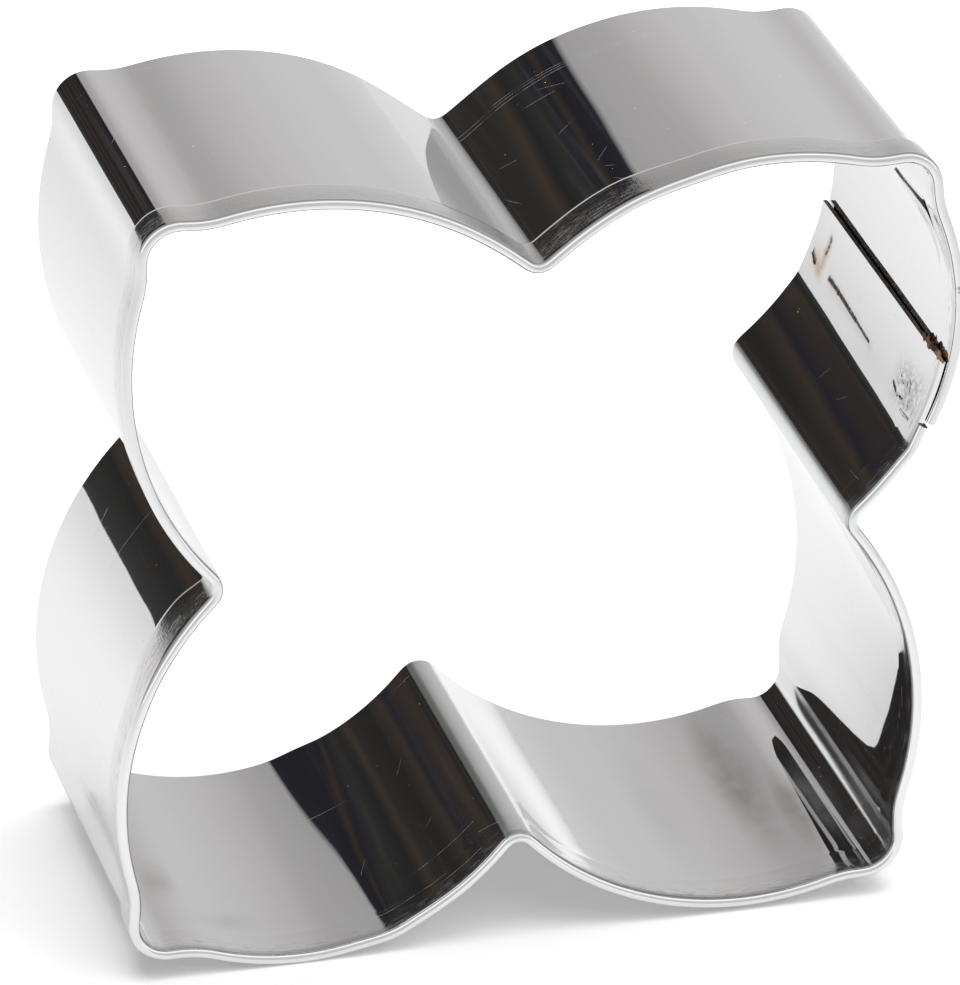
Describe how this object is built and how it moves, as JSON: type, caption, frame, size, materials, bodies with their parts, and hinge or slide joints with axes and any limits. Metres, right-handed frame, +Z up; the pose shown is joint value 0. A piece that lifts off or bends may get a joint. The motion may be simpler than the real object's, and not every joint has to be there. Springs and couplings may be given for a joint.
{
  "type": "cookie cutter",
  "caption": "Flower cookie cutter bent from one thin steel strip, with rounded notches, pointed petals, a rolled rim, a plain cutting edge and a spot-welded lap seam.",
  "frame": {"origin": "under the middle of the cutter, on the surface that it stands on with its two lower petals", "axes": "+Z up across the flower, +Y from the rolled rim to the cutting edge, +X to the right seen from the rim"},
  "size_m": [0.0564, 0.025, 0.0557],
  "materials": {
    "bright_steel": "bright rolled sheet with fine scratches, duller along the rolled rim",
    "weld_steel": "matt grey with brown heat tint"
  },
  "bodies": {
    "root": {"cutter_strip": "bright_steel", "spot_weld_rim": "weld_steel", "spot_weld_middle": "weld_steel", "spot_weld_edge": "weld_steel"}
  },
  "joints": []
}
